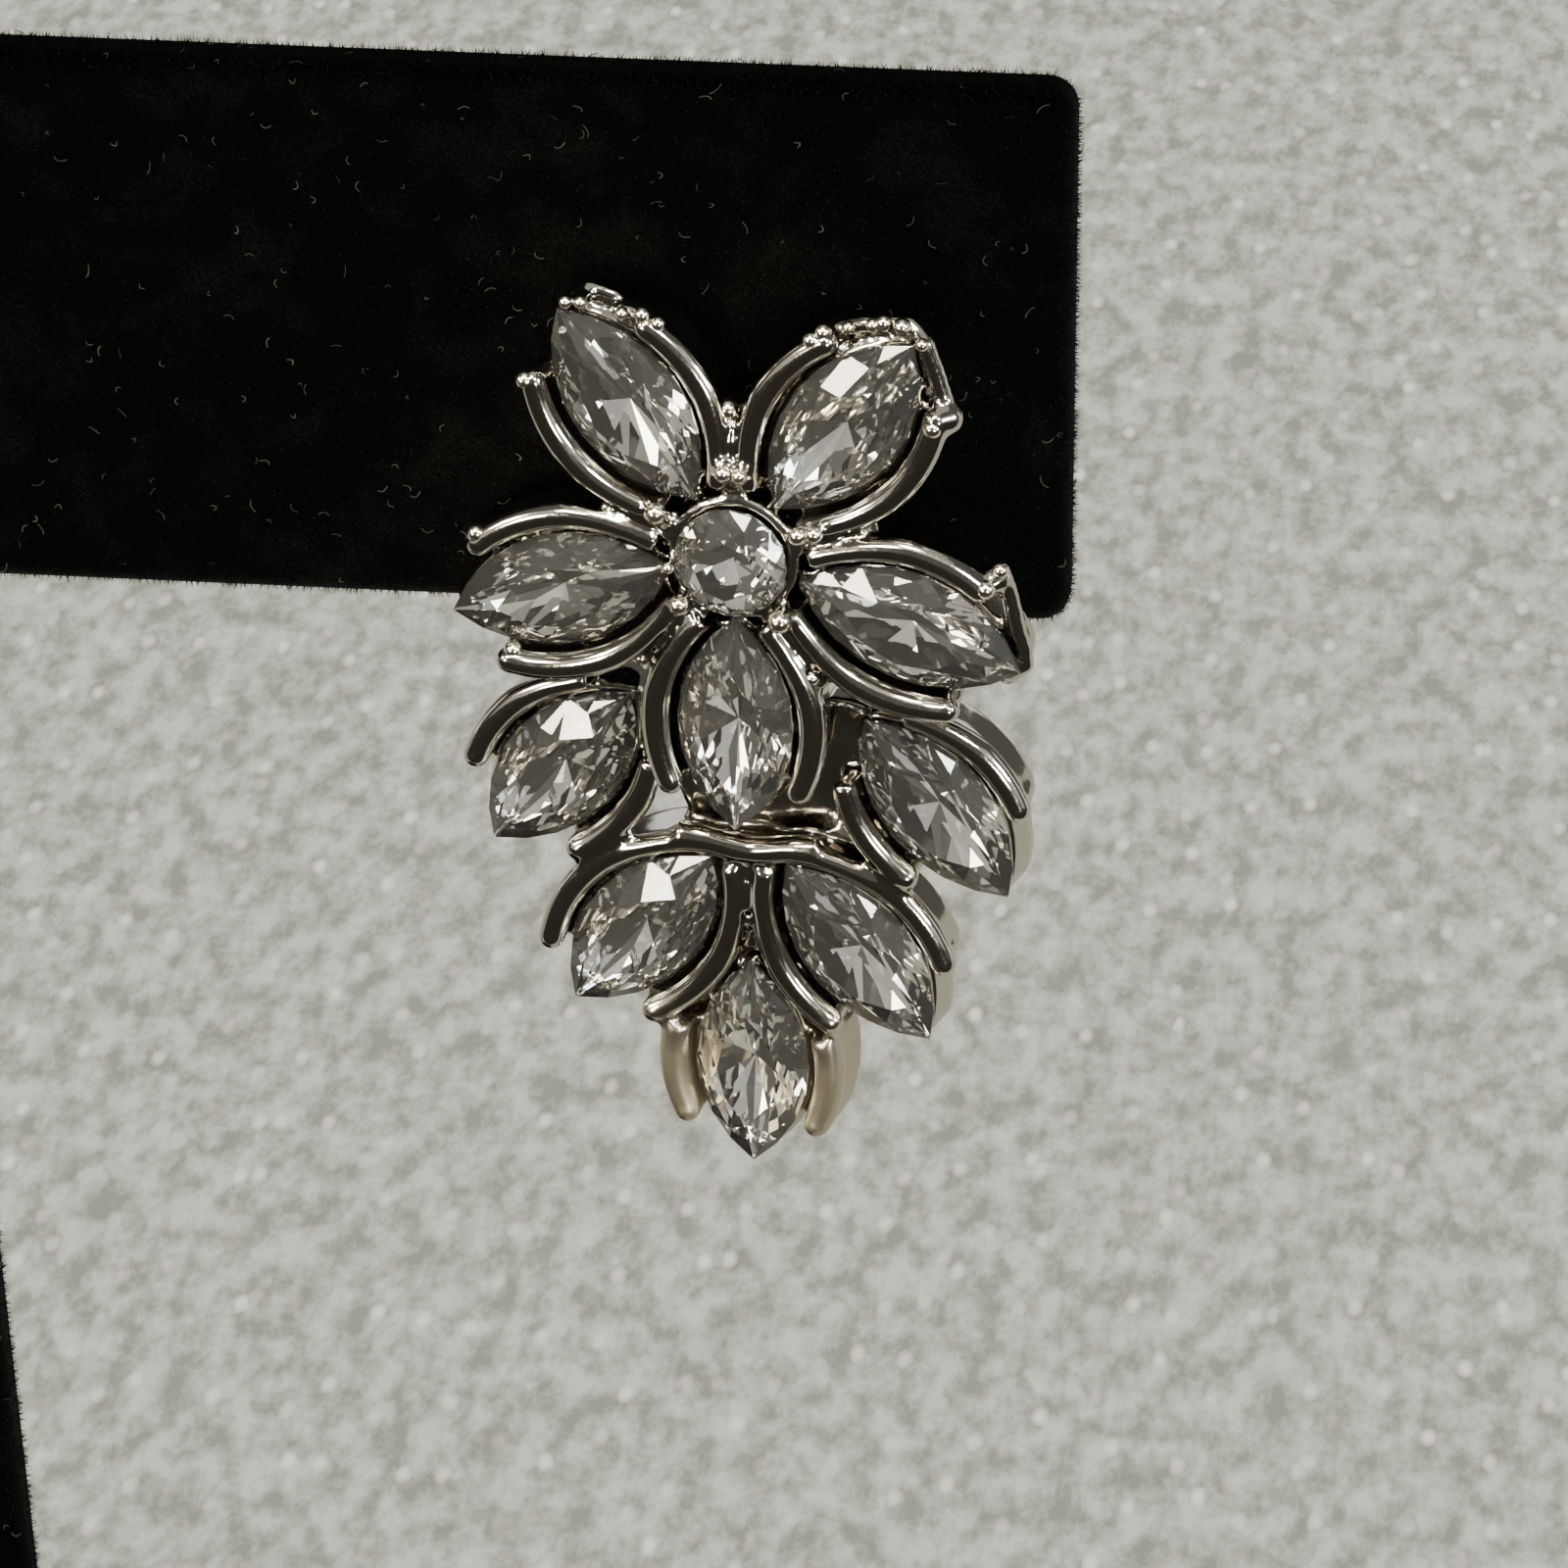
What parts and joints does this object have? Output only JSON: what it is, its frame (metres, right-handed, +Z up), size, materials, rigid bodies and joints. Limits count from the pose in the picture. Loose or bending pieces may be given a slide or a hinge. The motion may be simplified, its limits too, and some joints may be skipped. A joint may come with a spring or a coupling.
{
  "type": "dangle earring on a display stand",
  "caption": "Silver-tone dangle earring: a flower of marquise crystals round a round one, with a hinged crystal spray hanging below it, on a plain black velvet T-shaped display stand.",
  "frame": {"origin": "centre of the underside of the stand's foot", "axes": "+Z up, the stand's face and the earring look towards -Y, the earring hangs towards the +X end of the arm"},
  "size_m": [0.11, 0.046, 0.098],
  "materials": {
    "silver_plate": "cast white metal, polished and plated silver-tone",
    "crystal": "clear faceted glass crystal, foiled at the back",
    "post_steel": "drawn steel wire and stamped pad",
    "velvet": "black velvet over board, short dense pile"
  },
  "bodies": {
    "root": {"flower_setting": "silver_plate", "petal_stone_1": "crystal", "petal_stone_2": "crystal", "petal_stone_3": "crystal", "petal_stone_4": "crystal", "petal_stone_5": "crystal", "center_stone": "crystal", "ear_post": "post_steel", "hinge_pin": "post_steel", "stand_arm": "velvet", "stand_upright": "velvet", "stand_foot": "velvet"},
    "drop": {"drop_setting": "silver_plate", "drop_stone_1": "crystal", "drop_stone_2": "crystal", "drop_stone_3": "crystal", "drop_stone_4": "crystal", "drop_stone_5": "crystal"}
  },
  "joints": [
    {"name": "drop_swing", "type": "hinge", "parent": "root", "child": "drop", "pos_m": [0.04184, -0.00234, 0.0719], "axis": [0.989, -0.1478, 0], "range_deg": [-5, 80]}
  ]
}
